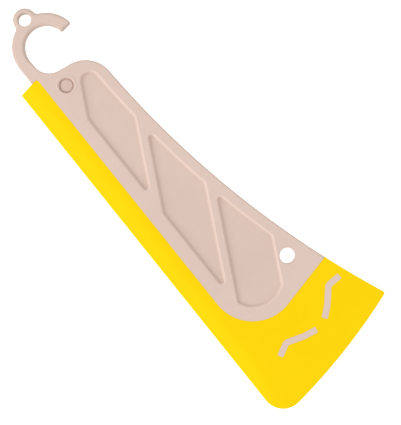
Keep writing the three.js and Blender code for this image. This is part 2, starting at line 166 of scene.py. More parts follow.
class SqueegeeBlade(bpy.types.PropertyGroup):
    """Sizes of the soft blade and its windows."""
    height: length("Blade height", 84, "Side edge to the upper front corner")
    side_lip: length("Side lip", 8, "Soft material beyond the core's straight edge")
    side_lap: length("Side lap", 3.8, "How far the soft skin laps back over that edge")
    strip_end: length("Strip end", 10.2, "Hook's centre to the start of the soft strip")
    strip_lean: angle("Strip end lean", 6.8, "Lean of the strip's end")
    strip_corner: length("Strip end corner", 1.5, "Rounding of the strip's inner corner")
    front_lean: length("Front lean", 17.7, "How far the upper front corner stands back")
    front_arc: length("Front radius", 333, "Radius of the front edge")
    lower_corner: length("Lower corner", 11.5, "Rounding of the lower front corner")
    upper_corner: length("Upper corner", 1.3, "Rounding of the upper front corner")
    root_reach: length("Root reach", 36.9, "Upper front corner to the top of the root line")
    root_lean: angle("Root lean", 13.3, "Lean of the root line")
    root_radius: length("Root radius", 23.3, "Bend of the root line into the side strip")
    side_edge: length("Side edge thickness", 1.2, "Thickness of the blade at its side edge")
    front_edge: length("Front edge thickness", 1.8, "Thickness of the blade at its front edge")
    front_taper: length("Front taper", 37.5, "Length of the wedge behind the front edge")
    side_softness: length("Side crease softness", 0.7, "Height over which the side wedge starts")
    front_softness: length("Front crease softness", 0.1, "Height over which the front wedge starts")
    corner_softness: length("Corner softness", 0.9, "Height over which the two wedges meet")
    edge: length("Edge rounding", 0.25, "Rounding of the blade's free edges")
    seam_edge: length("Seam rounding", 0.07, "Rounding of both materials along their joint")
    seam_gap: length("Seam gap", 0.02, "Hairline between the two materials")
    window_width: length("Window width", 3.3, "Width of the two bent windows")
    window_tilt: angle("Window tilt", 15, "Direction of the line the windows mirror about")
    window_height: length("Window height", 47.3, "Side edge to that line at the window tips")
    window_inset: length("Window inset", 19, "Window tips to the front edge")
    window_gap: length("Window gap", 7.2, "Space between the two windows")
    window_clearance: length("Window clearance", 4.3, "Outer window to the upper edge")
    window_bend: length("Window bend radius", 2.6, "Bend of the windows' centreline")
    window_corner: length("Window corner radius", 0.45, "Rounding of the windows' ends")
    flex_start: length("Flex start", -1, "Start of the bending zone, ahead of the flex line")
    flex_end: length("Flex end", 5.5, "End of the bending zone, ahead of the flex line")


class SqueegeeFinish(bpy.types.PropertyGroup):
    """Colours and surface of the two mouldings."""
    core_colour: colour("Core", (0.80, 0.625, 0.54), "Lightest tone of the rigid plastic")
    core_shade: colour("Core shade", (0.64, 0.49, 0.415), "Darkest tone of the rigid plastic")
    core_roughness: share("Core roughness", 0.5, "Roughness of the rigid plastic")
    core_gloss: share("Core gloss", 0.35, "Strength of the rigid plastic's reflections")
    core_grain: share("Core grain", 0.6, "Strength of the grain on the rigid plastic")
    blade_colour: colour("Blade", (1.0, 0.69, 0.001), "Colour of the soft blade")
    blade_shade: colour("Blade shade", (0.97, 0.64, 0.001), "Darker tone of the soft blade")
    blade_roughness: share("Blade roughness", 0.5, "Roughness of the soft blade")
    blade_gloss: share("Blade gloss", 0.06, "Strength of the soft blade's reflections")
    blade_grain: share("Blade grain", 0.4, "Strength of the grain on the soft blade")
    grain: length("Grain size", 0.35, "Size of the mould's spark-eroded grain")
    grain_height: length("Grain height", 0.012, "Height of that grain")


class SqueegeeStage(bpy.types.PropertyGroup):
    """Camera, floor and light."""
    camera_x: length("Camera X", 16.2, "Where the camera stands over the tool, along X")
    camera_y: length("Camera Y", -7.0, "Where the camera stands over the tool, along Y")
    camera_height: length("Camera height", 550, "Camera above the tool's face")
    camera_turn: angle("Camera turn", 51.27, "Turn of the picture about the vertical")
    view_height: length("View height", 221, "Height of the view at the tool's face")
    floor_colour: colour("Floor", (0.95, 0.95, 0.95), "Colour of the floor")
    floor_size: length("Floor size", 6000, "Width of the square floor")
    floor_glow: FloatProperty(name="Floor glow", description="Light of the lit floor itself",
                              default=0.65, min=0)
    key_size: length("Key light size", 1400, "Width of the key light")
    key_power: FloatProperty(name="Key light", description="Power of the key light, in watts",
                             default=16.6, min=0)
    sky: FloatProperty(name="Sky", description="Strength of the even light all round",
                       default=0.81, min=0)


class SqueegeeSettings(bpy.types.PropertyGroup):
    """All settings of the hand squeegee."""
    handle: PointerProperty(type=SqueegeeHandle)
    face: PointerProperty(type=SqueegeeFace)
    blade: PointerProperty(type=SqueegeeBlade)
    finish: PointerProperty(type=SqueegeeFinish)
    stage: PointerProperty(type=SqueegeeStage)


# ---- plane geometry

def dot(a, b):
    return (a.conjugate() * b).real


def polar(radius, turn):
    return complex(radius * cos(turn), radius * sin(turn))


def heading(of, seen_from=0):
    return float(np.angle(of - seen_from))


def circles_cross(a, radius_a, b, radius_b):
    """Where two circles cross, on the left of the way from a to b."""
    span = abs(b - a)
    along = (radius_a ** 2 - radius_b ** 2 + span ** 2) / (2 * span)
    return a + (b - a) / span * complex(along, sqrt(radius_a ** 2 - along ** 2))


class Line:
    """A line through a point, square to its unit normal."""

    def __init__(self, on, normal):
        self.on, self.normal = on, normal

    def shifted(self, distance):
        return Line(self.on + self.normal * distance, self.normal)

    def meets(self, other):
        way = self.normal * 1j
        return self.on + way * dot(other.normal, other.on - self.on) / dot(other.normal, way)

    def meets_circle(self, centre, radius, towards=-1j):
        distance = dot(self.normal, self.on - centre)
        way = self.normal * 1j
        half = sqrt(radius ** 2 - distance ** 2) * np.sign(dot(way, towards))
        return centre + self.normal * distance + way * half


def level(y):
    return Line(complex(0, y), 1j)


MAX_STEP = 2 * MM                # longest stretch of an outline between two points
MAX_TURN = radians(5)            # largest turn of an arc between two points
CORNER_POINTS = 3                # least number of points round a corner
SAME_POINT = 1e-7                # points nearer than this are one, in metres


def straight(start, end):
    return np.linspace(start, end, ceil(abs(end - start) / MAX_STEP) + 1)


def arc(centre, start, end, clockwise=False):
    """The arc about a centre from one point round to another."""
    radius, first, last = abs(start - centre), heading(start, centre), heading(end, centre)
    turn = (last - first) % (2 * pi)
    if clockwise:
        turn -= 2 * pi
    count = max(ceil(abs(turn) / MAX_TURN), ceil(abs(turn) * radius / MAX_STEP))
    return centre + radius * np.exp(1j * np.linspace(first, first + turn, count + 1))


def circle(centre, radius, clockwise=False):
    count = ceil(2 * pi / MAX_TURN)
    turns = np.arange(count) * 2 * pi / count
    return centre + radius * np.exp(-1j * turns if clockwise else 1j * turns)


def trimmed(run, start, end):
    """A run without its first and last lengths."""
    travel = np.concatenate([[0], np.cumsum(abs(np.diff(run)))])
    stop = travel[-1] - end
    kept = (travel > start) & (travel < stop)
    at = np.concatenate([[start], travel[kept], [stop]])
    return np.interp(at, travel, run.real) + 1j * np.interp(at, travel, run.imag)


def rounded_corner(before, after, radius):
    """How much a corner's rounding takes from the runs beside it, and its weight."""
    into, out = before[-1] - before[-2], after[1] - after[0]
    turn = abs(heading(out / into))
    return radius * tan(turn / 2), cos(turn / 2)


def joined(runs, closed=True):
    """Runs of points made one outline. Each is (points, corner radius at its end, label).

    Returns the points and the label of each point.
    """
    count = len(runs)
    cuts = [[0.0, 0.0] for _ in runs]
    weights = [1.0] * count
    for i, (points, radius, _) in enumerate(runs):
        if radius and (closed or i < count - 1):
            cut, weights[i] = rounded_corner(points, runs[(i + 1) % count][0], radius)
            cuts[i][1] = cuts[(i + 1) % count][0] = cut
    parts, labels = [], []
    for i, (points, _, label) in enumerate(runs):
        part = trimmed(points, *cuts[i])
        if cuts[i][1]:
            corner, follow = points[-1], runs[(i + 1) % count][0]
            leave = trimmed(follow, cuts[i][1], 0)[0]
            turn = 2 * np.arccos(np.clip(weights[i], -1, 1))
            along = np.linspace(0, 1, max(CORNER_POINTS, ceil(turn / MAX_TURN)) + 1)[1:]
            a, b, c = (1 - along) ** 2, 2 * weights[i] * along * (1 - along), along ** 2
            bend = (a * part[-1] + b * corner + c * leave) / (a + b + c)
            part = np.concatenate([part, bend])
        parts.append(part)
        labels.append(np.full(len(part), label, float))
    points, labels = np.concatenate(parts), np.concatenate(labels)
    follow = np.roll(points, -1)
    distinct = abs(follow - points) > SAME_POINT
    if not closed:
        distinct[-1] = True
    return points[distinct], labels[distinct]


def offset(points, distance, closed=True):
    """The outline moved to its left by a distance, which may differ from point to point."""
    ahead = np.roll(points, -1) - points
    behind = points - np.roll(points, 1)
    if not closed:
        ahead[-1], behind[0] = behind[-1], ahead[0]
    ahead, behind = ahead / abs(ahead), behind / abs(behind)
    lean = 1 + (ahead.conj() * behind).real
    return points + distance * 1j * (ahead + behind) / lean


# ---- the plan of the tool

# The edge rounding at the hook's tip, as a share of the tip's corner, and its growth from there.
TIP_SHARE, TIP_SLOPE = 0.7, 0.25
# A window from its inner end to its outer one: share of the way out, and millimetres back.
WINDOW_PATH = ((0, 0), (0.29, 3.1), (0.665, 8.7), (1, 7.0))


class Plan:
    """Where everything lies, worked out from the settings and set down on the frame."""

    def __init__(self, settings):
        h, f, b = settings.handle, settings.face, settings.blade
        self.handle, self.face, self.blade = h, f, b
        origin = complex(CORE_BOX[0].x, JACKET_BOX[0].y)
        self.side = origin.imag
        self.thickness = CORE_BOX[1].z - CORE_BOX[0].z
        self.hook = origin + complex(h.eye_outer + h.eye_distance, b.side_lip + h.hook_outer)
        self.eye = origin + complex(h.eye_outer, b.side_lip + h.hook_outer)
        self.throat_floor = self.hook.imag - h.hook_inner
        self.throat_wall = self.hook.real - h.hook_inner + h.throat
        self.shoulder = complex(self.throat_wall + h.throat_draft + h.shoulder,
                                self.side + h.grip_height - h.shoulder)
        self.upper_corner = origin + complex(h.overall - b.front_lean, b.height)
        self.lower_corner = origin + h.overall
        self.sweep = circles_cross(self.shoulder, h.sweep + h.shoulder, self.upper_corner, h.sweep)
        self.front = circles_cross(self.lower_corner, b.front_arc, self.upper_corner, b.front_arc)
        self.blade_line = self.side + b.side_lip + b.side_lap
        self.root_top = circles_cross(self.upper_corner, b.root_reach, self.sweep, h.sweep)
        self.root = Line(self.root_top, polar(1, b.root_lean))
        self.root_centre = self.root.shifted(-b.root_radius).meets(
            level(self.blade_line + b.root_radius))
        self.strip = Line(complex(self.hook.real + b.strip_end, self.blade_line),
                          polar(1, b.strip_lean))
        self.recess = complex(self.throat_wall + f.recess_to_throat,
                              self.blade_line + f.recess_to_blade)
        self.hole = self.root.shifted(-f.hole_to_blade).meets_circle(
            self.sweep, h.sweep + f.hole_to_edge)

    def core_outline(self):
        """The core's outline, anticlockwise, and the edge rounding at each point."""
        h, b = self.handle, self.blade
        free, seam, hook = h.edge, b.seam_edge, h.hook_edge
        bottom = self.hook - 1j * h.hook_outer
        foot = self.strip.meets(level(self.side + b.side_lip))
        corner = self.strip.meets(level(self.blade_line))
        root_foot = self.root_centre - 1j * b.root_radius
        root_side = self.root_centre + polar(b.root_radius, b.root_lean)
        crown = self.shoulder + polar(h.shoulder, heading(self.sweep, self.shoulder))
        wall_top = self.shoulder - h.shoulder
        wall_foot = complex(self.throat_wall, self.throat_floor + h.throat_corner)
        turn_centre = wall_foot - h.throat_corner
        turn_end = turn_centre - 1j * h.throat_corner
        bay = self.hook - 1j * h.hook_inner
        inner_tip = self.hook + polar(h.hook_inner, h.hook_tip)
        outer_tip = self.hook + polar(h.hook_outer, h.hook_tip)
        eye_above = circles_cross(self.eye, h.eye_outer, self.hook, h.hook_outer)
        eye_below = circles_cross(self.hook, h.hook_outer, self.eye, h.eye_outer)
        points, rounding = joined([
            (straight(bottom, foot), 0, free),
            (straight(foot, corner), b.strip_corner, seam),
            (straight(corner, root_foot), 0, seam),
            (arc(self.root_centre, root_foot, root_side), 0, seam),
            (straight(root_side, self.root_top), 0, seam),
            (arc(self.sweep, self.root_top, crown, clockwise=True), 0, free),
            (arc(self.shoulder, crown, wall_top), 0, free),
            (straight(wall_top, wall_foot), 0, free),
            (arc(turn_centre, wall_foot, turn_end, clockwise=True), 0, free),
            (straight(turn_end, bay), 0, free),
            (arc(self.hook, bay, inner_tip, clockwise=True), h.tip_corner, hook),
            (straight(inner_tip, outer_tip), h.tip_corner, hook),
            (arc(self.hook, outer_tip, eye_above), h.eye_fillet, hook),
            (arc(self.eye, eye_above, eye_below), h.eye_fillet, hook),
            (arc(self.hook, eye_below, bottom), 0, hook),
        ])
        to_tip = np.minimum(abs(points - inner_tip), abs(points - outer_tip))
        return points, np.minimum(rounding, TIP_SHARE * h.tip_corner + TIP_SLOPE * to_tip)

    def blade_outline(self):
        """The soft blade, anticlockwise, and the edge rounding at each point."""
        h, b = self.handle, self.blade
        free, seam = b.edge, b.seam_edge
        strip, root = self.strip.shifted(b.seam_gap), self.root.shifted(b.seam_gap)
        line = level(self.blade_line - b.seam_gap)
        start = strip.meets(level(self.side))
        turn_centre = level(self.side + b.lower_corner).meets_circle(
            self.front, b.front_arc - b.lower_corner, towards=1)
        turn_start = turn_centre - 1j * b.lower_corner
        turn_end = turn_centre + polar(b.lower_corner, heading(turn_centre, self.front))
        root_top = root.meets_circle(self.sweep, h.sweep)
        bend = b.root_radius + b.seam_gap
        root_side = self.root_centre + polar(bend, b.root_lean)
        root_foot = self.root_centre - 1j * bend
        inner = strip.meets(line)
        return joined([
            (straight(start, turn_start), 0, free),
            (arc(turn_centre, turn_start, turn_end), 0, free),
            (arc(self.front, turn_end, self.upper_corner), b.upper_corner, free),
            (arc(self.sweep, self.upper_corner, root_top, clockwise=True), 0, free),
            (straight(root_top, root_side), 0, seam),
            (arc(self.root_centre, root_side, root_foot, clockwise=True), 0, seam),
            (straight(root_foot, inner), b.strip_corner, seam),
            (straight(inner, start), b.window_corner, seam),
        ])

    def pocket_outlines(self):
        """The rims of the pockets, anticlockwise."""
        h, f, b = self.handle, self.face, self.blade
        across = complex(sin(f.rib_angle), cos(f.rib_angle))
        first = dot(across, self.recess) + f.recess_radius + f.recess_rim
        last = dot(across, self.hole) - f.hole_radius - f.hole_rim
        width = (last - first - (f.pockets - 1) * f.rib_width) / f.pockets
        floor = level(self.blade_line + f.lower_border)
        upper, bend = h.sweep + f.upper_border, b.root_radius - f.lower_border
        bend_start = self.root_centre - 1j * bend

        def lower_end(side):
            """Where a pocket's side ends at its lower boundary, and the corner's radius."""
            on_straight = side.meets(floor)
            if on_straight.real < bend_start.real + f.corner_radius:
                return on_straight, f.corner_radius
            return side.meets_circle(self.root_centre, bend), f.tip_radius

        outlines = []
        for i in range(f.pockets):
            near = Line(across * (first + i * (width + f.rib_width)), across)
            far = near.shifted(width)
            nose, top = (side.meets_circle(self.sweep, upper) for side in (near, far))
            (low, low_radius), (high, _) = lower_end(near), lower_end(far)
            if high.real < bend_start.real + f.corner_radius:
                bottom = straight(low, high)
            elif low.real < bend_start.real:
                bottom = np.concatenate([straight(low, bend_start),
                                         arc(self.root_centre, bend_start, high)[1:]])
            else:
                bottom = arc(self.root_centre, low, high)
            roof = arc(self.sweep, top, nose, clockwise=True)
            outlines.append(joined([
                (straight(nose, low), low_radius, 0),
                (bottom, f.tip_radius, 0),
                (straight(high, top), f.corner_radius, 0),
                (roof, f.tip_radius if i else f.nose_radius, 0),
            ])[0])
        return outlines

    def window_outlines(self, inset=0.0):
        """The two bent windows, anticlockwise: mirror images about one tilted line."""
        h, b = self.handle, self.blade
        middle = level(self.side + b.window_height)
        start = middle.meets_circle(self.front, b.front_arc, towards=1) - b.window_inset
        outward = polar(1, b.window_tilt)
        outer = Line(start - outward * WINDOW_PATH[-1][1] * MM, outward)
        end = outer.meets_circle(self.sweep, h.sweep + b.window_clearance)
        span = dot(outward * 1j, end - start) - b.window_gap / 2
        half = b.window_width / 2 - inset
        outlines = []
        for side in (1, -1):
            knots = [start - outward * back * MM
                     + outward * 1j * side * (b.window_gap / 2 + span * out)
                     for out, back in WINDOW_PATH]
            path, _ = joined([(straight(*pair), b.window_bend, 0)
                              for pair in zip(knots, knots[1:])], closed=False)
            path = trimmed(path, inset, inset)
            right, left = offset(path, -half, False), offset(path, half, False)[::-1]
            ends = [straight(right[-1], left[0]), straight(left[-1], right[0])]
            corner = b.window_corner
            outlines.append(joined([(right, corner, 0), (ends[0], corner, 0),
                                    (left, corner, 0), (ends[1], corner, 0)])[0])
        return outlines


# ---- flat sheets of a plan

ATTRIBUTES = ("reach", "rounding", "pocket", "recess", "wedge")
# Rings beside an edge, in roundings: spread round the quarter turn, and one on the flat.
EDGE_RINGS = [1 - cos(radians(turn)) for turn in (0, 18, 36, 54, 72, 90)] + [1.25]
UNROUNDED = 2.0                  # reach of a point that no rounding touches
FAR_OUTSIDE = -1.0               # a distance that lies outside every pocket and recess
POINTS_AT_ONCE = 2000            # how many points are tested against a border together
CUT_TOLERANCE = 1e-6             # in millimetres, for points on each other's edges

# Rings of a pocket's wall, as shares of the way from its rim to its floor.
WALL_RINGS = (-0.1, 0, 0.07, 0.13, 0.18, 0.23, 0.3, 0.42, 0.54, 0.64, 0.73, 0.82, 0.91, 1, 1.06)
LIP_RINGS, GROOVE_RINGS = 9, 15
RING_MARGIN = 1.1                # how far those rings reach, in widths of the lip or groove

# Rows of points along the side strip, in side lips from the side edge. They lie close
# together where the wedge starts.
STRIP_ROWS = np.array([1, 2, 3.2, 4.5, 5.6, 6.4, 6.9, 7.3, 7.7, 8.1, 8.5, 8.9, 9.4, 10.2, 11]) / 8
STRIP_STEP, STRIP_CLEARANCE = 3 * MM, 0.5 * MM
# Arcs of points behind the front edge, close together where the lip bends.
FAN_ARCS = np.concatenate([np.arange(1, 13, 1.2), np.arange(13, 75, 2.5)]) * MM
FAN_STEP, FAN_CLEARANCE = 2.2 * MM, 0.7 * MM
FAN_ABOVE_STRIP = 0.1            # in side lips


class Sheet:
    """A flat triangle mesh of a plan, with what the relief needs stored at its points."""

    def __init__(self, wedge):
        self.wedge = wedge
        self.points, self.values, self.edges, self.borders = [], [], [], []
        self.count = 0

    def add(self, points, reach=UNROUNDED, rounding=0.0, pocket=FAR_OUTSIDE,
            recess=FAR_OUTSIDE, wedge=None, ring=True):
        """Points with their values, as a closed ring or loose."""
        size = len(points)
        columns = (reach, rounding, pocket, recess, self.wedge if wedge is None else wedge)
        self.values.append(np.column_stack([np.broadcast_to(column, size) for column in columns]))
        self.points.append(points)
        if ring:
            at = np.arange(size) + self.count
            self.edges.append(np.column_stack([at, np.roll(at, -1)]))
        self.count += size

    def add_border(self, points, rounding, **extra):
        """An edge of the sheet, with rings beside it for its rounding."""
        self.borders.append(points)
        rounding = np.broadcast_to(rounding, len(points))
        for reach in EDGE_RINGS:
            self.add(offset(points, rounding * reach), reach, rounding, **extra)

    def add_sunk(self, points, name, distances):
        """A rim with the wall that goes down inside it, as rings at those distances."""
        for distance in distances:
            self.add(offset(points, distance), **{name: distance})

    def add_grid(self, points, clearance):
        """Loose points, where they lie inside and clear of every ring."""
        rings = np.concatenate(self.points)
        edges = np.concatenate(self.edges)
        start, way = rings[edges[:, 0]], rings[edges[:, 1]] - rings[edges[:, 0]]
        points = points[self.inside(points)]
        clear = []
        for p in points:
            along = np.clip(((p - start) * way.conj()).real / abs(way) ** 2, 0, 1)
            clear.append(abs(p - start - along * way).min() > clearance)
        self.add(points[np.array(clear, bool)], ring=False)

    def inside(self, points):
        """Whether points lie within the borders, holes left out."""
        result = np.zeros(len(points), bool)
        for border in self.borders:
            a, b = border, np.roll(border, -1)
            for i in range(0, len(points), POINTS_AT_ONCE):
                batch = slice(i, i + POINTS_AT_ONCE)
                x, y = points[batch, None].real, points[batch, None].imag
                spans = (a.imag > y) != (b.imag > y)
                rise = np.where(b.imag == a.imag, 1, b.imag - a.imag)
                left = x < (b.real - a.real) * (y - a.imag) / rise + a.real
                result[batch] ^= (spans & left).sum(1) % 2 == 1
        return result

    def mesh(self, name):
        """The sheet as a mesh with its values as attributes."""
        points, values = np.concatenate(self.points), np.concatenate(self.values)
        coordinates = [Vector((p.real, p.imag)) for p in points / MM]
        edges = np.concatenate(self.edges).tolist()
        all_triangles = 0
        found, _, faces, sources, _, _ = delaunay_2d_cdt(
            coordinates, edges, [], all_triangles, CUT_TOLERANCE)
        found = np.array([complex(*v) for v in found]) * MM
        faces = np.array(faces)
        # Where two rings cross there is a new point, which takes the nearest point's values.
        first = np.array([source[0] if source else abs(points - place).argmin()
                          for source, place in zip(sources, found)])
        on_border = values[first, 0] == 0
        kept = faces[self.inside(found[faces].mean(1)) & ~on_border[faces].all(1)]
        mesh = bpy.data.meshes.new(name)
        mesh.from_pydata([(p.real, p.imag, 0) for p in found], [], kept.tolist())
        for column, attribute in enumerate(ATTRIBUTES):
            layer = mesh.attributes.new(attribute, "FLOAT", "POINT")
            layer.data.foreach_set("value", values[first, column].astype(np.float32))
        mesh.validate()
        return mesh


def core_sheet(plan):
    """The core, with its pockets, its recess, its holes and the pads in the windows."""
    h, f, b = plan.handle, plan.face, plan.blade
    sheet = Sheet(wedge=0.0)
    outline, rounding = plan.core_outline()
    sheet.add_border(outline, rounding)
    for centre, radius in ((plan.eye, h.eye_hole), (plan.hole, f.hole_radius)):
        sheet.add_border(circle(centre, radius, clockwise=True), f.hole_edge)
    for outline in plan.window_outlines(b.seam_gap):
        sheet.add_border(outline, b.seam_edge, wedge=1.0)
    slope = f.depth / f.wall_run
    start, end = -f.rim / slope, f.wall_run + f.foot / slope
    wall = [start + (end - start) * at for at in WALL_RINGS]
    for outline in plan.pocket_outlines():
        sheet.add_sunk(outline, "pocket", wall)
    lip = np.linspace(-RING_MARGIN * f.lip_width - f.lip_margin, -f.lip_margin, LIP_RINGS)
    groove = np.linspace(0, f.recess_wall + RING_MARGIN * f.groove_width, GROOVE_RINGS)
    sheet.add_sunk(circle(plan.recess, f.recess_radius), "recess", [*lip, *groove])
    return sheet


def blade_sheet(plan):
    """The soft blade, with its windows and the points that its two wedges need."""
    b = plan.blade
    sheet = Sheet(wedge=1.0)
    outline, rounding = plan.blade_outline()
    sheet.add_border(outline, rounding)
    for outline in plan.window_outlines():
        sheet.add_border(outline[::-1], b.seam_edge)
    along = np.arange(plan.hook.real, plan.front.real + b.front_arc, STRIP_STEP)
    strip = along[None] + 1j * (plan.side + STRIP_ROWS * b.side_lip)[:, None]
    sheet.add_grid(strip.ravel(), STRIP_CLEARANCE)
    turns = np.arange(heading(plan.lower_corner, plan.front),
                      heading(plan.upper_corner, plan.front), FAN_STEP / b.front_arc)
    fan = plan.front + (b.front_arc - FAN_ARCS)[:, None] * np.exp(1j * turns)[None]
    above = plan.side + (STRIP_ROWS[-1] + FAN_ABOVE_STRIP) * b.side_lip
    sheet.add_grid(fan[fan.imag > above], FAN_CLEARANCE)
    return sheet


# ---- node trees

class Socket:
    """A node's output that can be used in sums."""

    def __init__(self, graph, socket):
        self.graph, self.socket = graph, socket

    def beside(self):
        """All the outputs of the same node, by name."""
        return {socket.name: Socket(self.graph, socket) for socket in self.socket.node.outputs}

    def math(self, operation, *others):
        inputs = dict(enumerate((self, *others)))
        return self.graph.node("ShaderNodeMath", inputs, operation=operation)

    def after(self, number, operation):
        """A number and then this socket, where their order matters."""
        return self.graph.node("ShaderNodeMath", {0: number, 1: self}, operation=operation)

    def __add__(self, other):
        return self.math("ADD", other)

    __radd__ = __add__

    def __sub__(self, other):
        return self.math("SUBTRACT", other)

    def __rsub__(self, other):
        return self.after(other, "SUBTRACT")

    def __mul__(self, other):
        return self.math("MULTIPLY", other)

    __rmul__ = __mul__

    def __truediv__(self, other):
        return self.math("DIVIDE", other)

    def __rtruediv__(self, other):
        return self.after(other, "DIVIDE")

    def __neg__(self):
        return self.math("MULTIPLY", -1.0)


class Graph:
    """Makes nodes in a tree, and links them by what is passed to their sockets."""

    def __init__(self, tree):
        self.tree = tree

    def node(self, kind, inputs=None, output=0, **settings):
        """A node with its settings made first and then its sockets; returns one output."""
        made = self.tree.nodes.new(kind)
        for name, value in settings.items():
            setattr(made, name, value)
        for name, value in (inputs or {}).items():
            self.feed(made, name, value)
        return Socket(self, made.outputs[output]) if len(made.outputs) else None

    def feed(self, node, name, value):
        """Sets a node's input, or links a socket or a list of sockets to it."""
        if isinstance(value, (Socket, list)):
            for source in value if isinstance(value, list) else [value]:
                self.tree.links.new(source.socket, node.inputs[name])
        else:
            node.inputs[name].default_value = value


WELD_DISTANCE = 1e-6             # joins the walls to both faces, in metres
# Sockets that share a name with others: a comparison's whole numbers, a mix's two colours.
WHOLE_A, WHOLE_B = 2, 3
COLOUR_A, COLOUR_B, COLOUR_MIXED = 6, 7, 2


def between(graph, value, low, high):
    """0 at low, 1 at high, and a smooth step between them."""
    return graph.node("ShaderNodeMapRange", {"Value": value, "From Min": low, "From Max": high},
                      interpolation_type="SMOOTHSTEP", clamp=True)


def relief_values(plan):
    """The relief tree's sizes, by the names of its inputs."""
    f, b = plan.face, plan.blade
    return {
        "Thickness": plan.thickness, "Side Y": plan.side, "Side Edge": b.side_edge,
        "Side Run": b.side_lip, "Front X": plan.front.real, "Front Y": plan.front.imag,
        "Front Radius": b.front_arc, "Front Edge": b.front_edge, "Front Run": b.front_taper,
        "Side Softness": b.side_softness, "Front Softness": b.front_softness,
        "Corner Softness": b.corner_softness, "Pocket Depth": f.depth, "Pocket Run": f.wall_run,
        "Pocket Rim": f.rim, "Pocket Foot": f.foot, "Recess Depth": f.recess_depth,
        "Recess Run": f.recess_wall, "Recess Softness": f.recess_softness,
        "Groove Depth": f.groove_depth, "Groove Width": f.groove_width,
        "Lip Height": f.lip_height, "Lip Width": f.lip_width, "Lip Margin": f.lip_margin,
    }


def relief_tree(sizes):
    """The tree that turns a flat sheet into a plate with relief on both faces."""
    tree = bpy.data.node_groups.new("moulded_relief", "GeometryNodeTree")
    face = tree.interface
    face.new_socket("Geometry", in_out="INPUT", socket_type="NodeSocketGeometry")
    for name, size in sizes.items():
        face.new_socket(name, in_out="INPUT", socket_type="NodeSocketFloat").default_value = size
    face.new_socket("Material", in_out="INPUT", socket_type="NodeSocketMaterial")
    face.new_socket("Geometry", in_out="OUTPUT", socket_type="NodeSocketGeometry")
    g = Graph(tree)
    given = g.node("NodeGroupInput").beside()

    def stored(name):
        return g.node("GeometryNodeInputNamedAttribute", {"Name": name}, data_type="FLOAT")

    position = g.node("ShaderNodeSeparateXYZ", {"Vector": g.node("GeometryNodeInputPosition")})
    x, y, z = position.beside().values()
    half = given["Thickness"] * 0.5

    def wedge(edge, run, distance, softness):
        """Half the plate's thickness, less where it runs down to a thin edge."""
        slim = edge * 0.5
        return (slim + (half - slim) * distance / run).math("SMOOTH_MIN", half, softness)

    side = wedge(given["Side Edge"], given["Side Run"], y - given["Side Y"],
                 given["Side Softness"])
    dx, dy = x - given["Front X"], y - given["Front Y"]
    behind = given["Front Radius"] - (dx * dx + dy * dy).math("SQRT")
    front = wedge(given["Front Edge"], given["Front Run"], behind, given["Front Softness"])
    both = side.math("SMOOTH_MIN", front, given["Corner Softness"])
    base = half + stored("wedge") * (both - half)

    missing = 1 - stored("reach").math("MINIMUM", 1.0)
    rounding = stored("rounding") * (1 - (1 - missing * missing).math("SQRT"))

    def sunk(name, depth, run, rim, foot):
        """How deep a wall and the floor behind it lie, soft at the rim and at the foot."""
        fall = (stored(name) * depth / run).math("SMOOTH_MAX", 0.0, rim)
        return fall.math("SMOOTH_MIN", depth, foot)

    pockets = sunk("pocket", given["Pocket Depth"], given["Pocket Run"],
                   given["Pocket Rim"], given["Pocket Foot"])
    recess = sunk("recess", given["Recess Depth"], given["Recess Run"],
                  given["Recess Softness"], given["Recess Softness"])

    def ridge(name, start, width):
        """1 along the middle of a band that starts at a distance, 0 beyond its sides."""
        away = (stored(name) - start - width * 0.5).math("ABSOLUTE")
        return between(g, away, width * 0.5, 0.0)

    groove = ridge("recess", given["Recess Run"] * 0.5, given["Groove Width"])
    lip = ridge("recess", -given["Lip Width"] - given["Lip Margin"], given["Lip Width"])
    back_height = base - rounding - pockets
    front_height = (back_height - recess - groove * given["Groove Depth"]
                    + lip * given["Lip Height"])

    def raised(height):
        """The sheet moved up or down from the middle of the plate."""
        place = g.node("ShaderNodeCombineXYZ", {"X": x, "Y": y, "Z": half + height})
        return g.node("GeometryNodeSetPosition", {"Geometry": given["Geometry"], "Position": place})

    upper = raised(front_height)
    lower = g.node("GeometryNodeFlipFaces", {"Mesh": raised(-back_height)})

    # The walls: the free edges of the upper face, drawn down to the lower one.
    neighbours = g.node("GeometryNodeInputMeshEdgeNeighbors")
    covered = g.node("FunctionNodeCompare", {WHOLE_A: neighbours, WHOLE_B: 1},
                     data_type="INT", operation="NOT_EQUAL")
    rim = g.node("GeometryNodeDeleteGeometry", {"Geometry": upper, "Selection": covered},
                 domain="EDGE", mode="EDGE_FACE")
    bands = g.node("GeometryNodeExtrudeMesh", {"Mesh": rim, "Offset Scale": 0.0}, mode="EDGES")
    opposite = g.node("ShaderNodeCombineXYZ", {"X": x, "Y": y, "Z": given["Thickness"] - z})
    walls = g.node("GeometryNodeSetPosition", {"Geometry": bands, "Position": opposite,
                                               "Selection": bands.beside()["Top"]})

    plate = g.node("GeometryNodeJoinGeometry", {"Geometry": [walls, lower, upper]})
    welded = g.node("GeometryNodeMergeByDistance",
                    {"Geometry": plate, "Distance": WELD_DISTANCE})
    smooth = g.node("GeometryNodeSetShadeSmooth", {"Geometry": welded, "Shade Smooth": True})
    plain = g.node("GeometryNodeRealizeInstances", {"Geometry": smooth})
    finished = g.node("GeometryNodeSetMaterial",
                      {"Geometry": plain, "Material": given["Material"]})
    g.node("NodeGroupOutput", {"Geometry": finished})
    return tree


